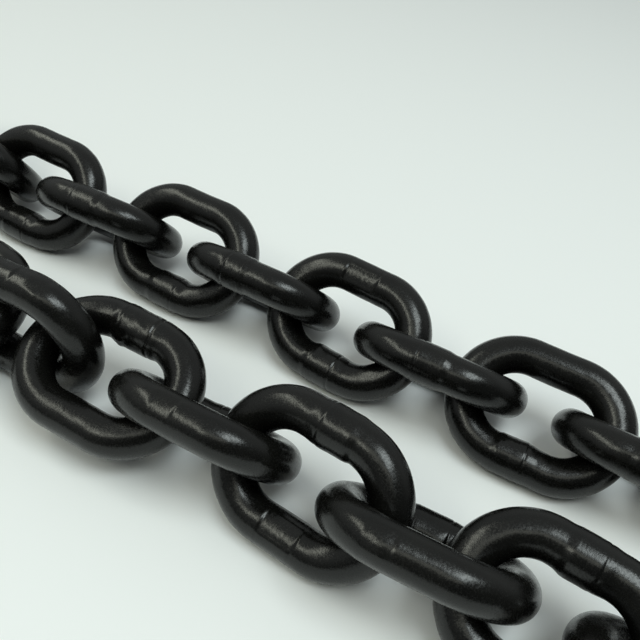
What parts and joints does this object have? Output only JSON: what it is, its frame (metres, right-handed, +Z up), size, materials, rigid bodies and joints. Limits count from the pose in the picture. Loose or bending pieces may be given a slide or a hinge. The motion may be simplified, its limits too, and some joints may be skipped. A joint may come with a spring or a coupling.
{
  "type": "lifting chain",
  "caption": "Length of black short-link lifting chain lying doubled in two side-by-side runs, each welded oval link leaning the other way from the last.",
  "frame": {"origin": "middle of the underside, on the floor the chain lies on", "axes": "+X along both runs towards the two free ends, +Y from the front run to the rear run, +Z up"},
  "size_m": [0.4514, 0.1076, 0.0374],
  "materials": {
    "blackened_steel": "satin"
  },
  "bodies": {
    "root": {"link_01": "blackened_steel", "link_02": "blackened_steel", "link_03": "blackened_steel", "link_04": "blackened_steel", "link_05": "blackened_steel", "link_06": "blackened_steel", "link_07": "blackened_steel", "link_08": "blackened_steel", "link_09": "blackened_steel", "link_10": "blackened_steel", "link_11": "blackened_steel", "link_12": "blackened_steel", "link_13": "blackened_steel", "link_14": "blackened_steel", "link_15": "blackened_steel", "link_16": "blackened_steel", "link_17": "blackened_steel", "link_18": "blackened_steel", "link_19": "blackened_steel", "link_20": "blackened_steel", "link_21": "blackened_steel", "link_22": "blackened_steel", "link_23": "blackened_steel", "link_24": "blackened_steel", "link_25": "blackened_steel", "link_26": "blackened_steel", "link_27": "blackened_steel", "link_28": "blackened_steel", "link_29": "blackened_steel", "link_30": "blackened_steel", "link_31": "blackened_steel", "link_32": "blackened_steel"}
  },
  "joints": []
}
